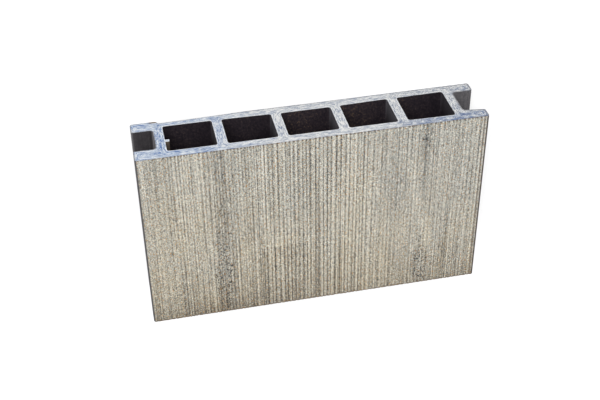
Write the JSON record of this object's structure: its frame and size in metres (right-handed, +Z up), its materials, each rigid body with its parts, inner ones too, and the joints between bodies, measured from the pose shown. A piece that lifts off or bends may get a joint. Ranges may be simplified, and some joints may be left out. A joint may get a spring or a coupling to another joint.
{
  "type": "composite deck board",
  "caption": "Sawn offcut of a hollow extruded composite deck board: ridged walking face, through chambers between webs, and a clip groove along each long edge.",
  "frame": {"origin": "on the floor under the middle of the board's back, which it lies on", "axes": "+X across the board's width, +Y along the extrusion towards the pictured sawn end, +Z up out of the walking face"},
  "size_m": [0.15, 0.088, 0.0276],
  "materials": {
    "composite": "matte"
  },
  "bodies": {
    "root": {"deck_board": "composite"}
  },
  "joints": []
}
